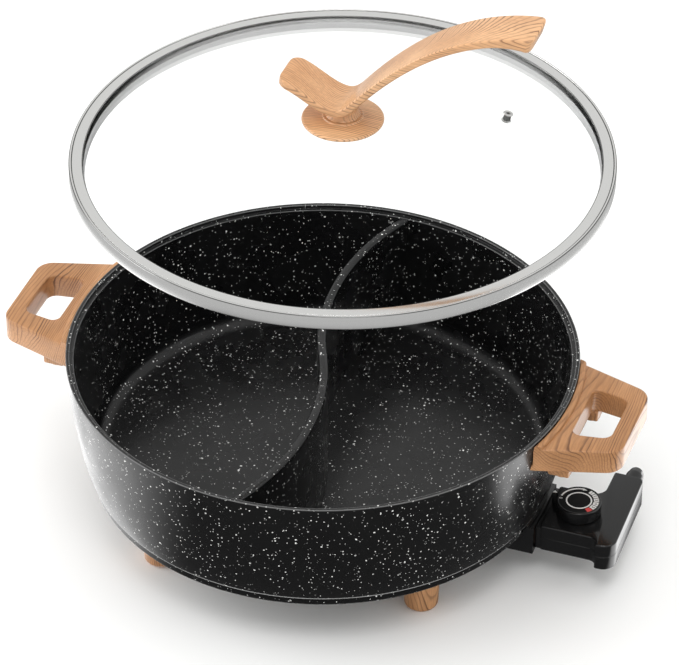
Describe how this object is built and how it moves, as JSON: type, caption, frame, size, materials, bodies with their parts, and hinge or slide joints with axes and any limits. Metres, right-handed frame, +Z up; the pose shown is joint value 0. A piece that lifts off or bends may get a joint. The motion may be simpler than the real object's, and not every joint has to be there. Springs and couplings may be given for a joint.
{
  "type": "electric hot pot",
  "caption": "Round electric hot pot with an S-shaped divider, side handles, short feet, a loose domed glass lid and a plug-in control with a dial.",
  "frame": {"origin": "on the floor, under the axis of the bowl", "axes": "+Z up, +X towards the plug-in control and the right handle, +Y towards the back"},
  "size_m": [0.4194, 0.34, 0.3997],
  "materials": {
    "coated_casting": "black non-stick coat with pale specks",
    "wood_look": "satin, ringed grain",
    "clear_glass": "clear",
    "band_steel": "satin",
    "steel": "plain",
    "black_plastic": "fine matte",
    "gloss_black": "glossy",
    "brown_plastic": "moulded",
    "ceramic": "glazed",
    "contact_brass": "stamped",
    "seal_rubber": "matte"
  },
  "bodies": {
    "pot": {"pot_casting": "coated_casting", "heating_element": "steel", "terminal_pins": "steel", "terminal_insulators": "ceramic", "socket_shroud": "black_plastic", "shroud_screws": "steel", "front_left_foot": "wood_look", "front_right_foot": "wood_look", "rear_left_foot": "wood_look", "rear_right_foot": "wood_look", "foot_screws": "steel", "left_handle": "wood_look", "right_handle": "wood_look", "handle_screws": "steel"},
    "lid": {"lid_glass": "clear_glass", "lid_band": "band_steel", "vent_grommet": "band_steel", "collar_gasket": "seal_rubber", "handle_collar": "wood_look", "lid_handle": "wood_look", "lower_gasket": "seal_rubber", "lid_washer": "steel", "lid_screw": "steel"},
    "control": {"control_top_shell": "black_plastic", "control_bottom_shell": "black_plastic", "connector_block": "brown_plastic", "contact_sleeves": "contact_brass", "temperature_probe": "steel", "thermostat_plate": "ceramic", "thermostat_post": "ceramic", "bimetal_leaf": "contact_brass", "contact_leaf": "contact_brass", "control_screws": "steel", "cord_gland": "gloss_black"},
    "dial": {"dial_knob": "gloss_black", "dial_plate": "gloss_black", "dial_shaft": "steel"}
  },
  "joints": [
    {"name": "lid_lift", "type": "slide", "parent": "pot", "child": "lid", "axis": [0.0899, 0, 0.9959], "range_m": [-0.1443, 0.03]},
    {"name": "control_slide", "type": "slide", "parent": "pot", "child": "control", "axis": [1, 0, 0], "range_m": [0, 0.075]},
    {"name": "dial_turn", "type": "hinge", "parent": "control", "child": "dial", "pos_m": [0.1748, 0, 0.042], "axis": [0, 0, 1], "range_deg": [0, 300]}
  ]
}
